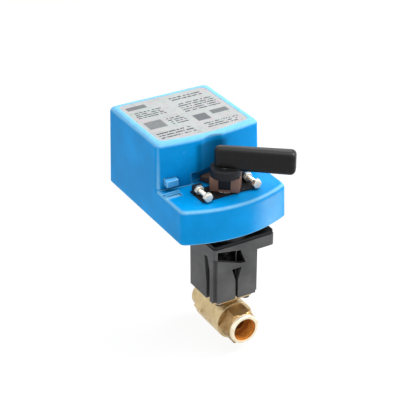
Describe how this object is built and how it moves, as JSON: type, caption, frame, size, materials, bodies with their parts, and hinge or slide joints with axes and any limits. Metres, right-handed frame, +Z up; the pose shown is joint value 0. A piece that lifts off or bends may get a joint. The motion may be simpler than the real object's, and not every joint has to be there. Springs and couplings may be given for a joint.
{
  "type": "electric ball valve",
  "caption": "Two-way brass ball valve turned by a boxed electric rotary drive through a hollow bracket column, with hand lever and coupler.",
  "frame": {"origin": "centre of the inlet port's face, on the pipe axis", "axes": "+Y along the pipe from the inlet to the outlet and towards the housing's rear, +Z up along the stem, +X to the right seen from the inlet"},
  "size_m": [0.098, 0.1733, 0.1735],
  "materials": {
    "brass": "machined, slightly dull",
    "stainless": "turned",
    "ball_chrome": "polished",
    "seal_white": "smooth",
    "rubber_black": "matt",
    "bracket_grey": "fine grain",
    "black_plastic": "fine grain",
    "zinc": "zinc plated",
    "blue_plastic": "semi-gloss, fine grain",
    "base_blue": "matt",
    "ivory_plastic": "smooth",
    "gear_white": "smooth",
    "plate_steel": "pressed",
    "board_green": "lacquered",
    "terminal_green": "moulded",
    "capacitor_sleeve": "sleeve",
    "label_film": "printed film",
    "coupler_brown": "moulded",
    "lever_black": "fine grain",
    "button_blue": "semi-gloss"
  },
  "bodies": {
    "valve_and_housing": {"valve_body": "brass", "end_connector": "brass", "connector_seal": "rubber_black", "ball_seats": "seal_white", "thrust_washer": "seal_white", "stem_packing": "seal_white", "packing_nut": "brass", "column_bracket": "bracket_grey", "pad_screws": "zinc", "adapter_plate": "black_plastic", "flange_screws": "zinc", "base_plate": "base_blue", "lower_bush": "ivory_plastic", "upper_bush": "ivory_plastic", "gear_posts": "stainless", "gear_arbors": "stainless", "gear_plate": "plate_steel", "motor_case": "plate_steel", "motor_screws": "zinc", "circuit_board": "board_green", "terminal_block": "terminal_green", "capacitors": "capacitor_sleeve", "housing_cover": "blue_plastic", "cover_screws": "zinc", "label_plate": "label_film", "stop_bracket": "black_plastic", "stop_screws": "zinc", "stop_nuts": "zinc", "gland_body": "black_plastic", "gland_nut": "black_plastic", "gland_seal": "rubber_black", "gland_locknut": "black_plastic"},
    "drive": {"ball": "ball_chrome", "stem": "stainless", "stem_coupling": "black_plastic", "drive_shaft": "stainless", "output_sleeve": "stainless", "output_gear": "ivory_plastic", "coupler": "coupler_brown", "coupler_insert": "black_plastic", "clamp_screw": "zinc", "override_lever": "lever_black", "lever_set_screw": "stainless"},
    "third_gear_arbor": {"third_gear": "gear_white"},
    "second_gear_arbor": {"second_gear": "gear_white"},
    "first_gear_arbor": {"first_gear": "gear_white"},
    "rotor": {"motor_rotor": "stainless"},
    "button": {"release_button": "button_blue", "release_spring": "stainless"}
  },
  "joints": [
    {"name": "drive_turn", "type": "hinge", "parent": "valve_and_housing", "child": "drive", "pos_m": [0, 0.033, 0.12], "axis": [0, 0, 1], "range_deg": [-51, 39]},
    {"name": "third_gear_turn", "type": "hinge", "parent": "valve_and_housing", "child": "third_gear_arbor", "pos_m": [0, 0.072, 0.1], "axis": [0, 0, 1], "range_deg": [-216, 282]},
    {"name": "second_gear_turn", "type": "hinge", "parent": "valve_and_housing", "child": "second_gear_arbor", "pos_m": [0.0096, 0.08863, 0.1], "axis": [0, 0, 1], "range_deg": [-843, 645]},
    {"name": "first_gear_turn", "type": "hinge", "parent": "valve_and_housing", "child": "first_gear_arbor", "pos_m": [0.0024, 0.1011, 0.1], "axis": [0, 0, 1], "range_deg": [-1932, 2526]},
    {"name": "motor_turn", "type": "hinge", "parent": "valve_and_housing", "child": "rotor", "pos_m": [-0.00886, 0.1076, 0.1], "axis": [0, 0, 1], "range_deg": [-8418, 6438]},
    {"name": "button_press", "type": "slide", "parent": "valve_and_housing", "child": "button", "axis": [0, 1, 0], "range_m": [0, 0.003], "stiffness_N_per_m": 400, "springref_m": -0.002}
  ],
  "couplings": [
    {"joint": "third_gear_turn", "follows": "drive_turn", "ratio": -5.5},
    {"joint": "second_gear_turn", "follows": "drive_turn", "ratio": 16.5},
    {"joint": "first_gear_turn", "follows": "drive_turn", "ratio": -49.5},
    {"joint": "motor_turn", "follows": "drive_turn", "ratio": 165}
  ]
}
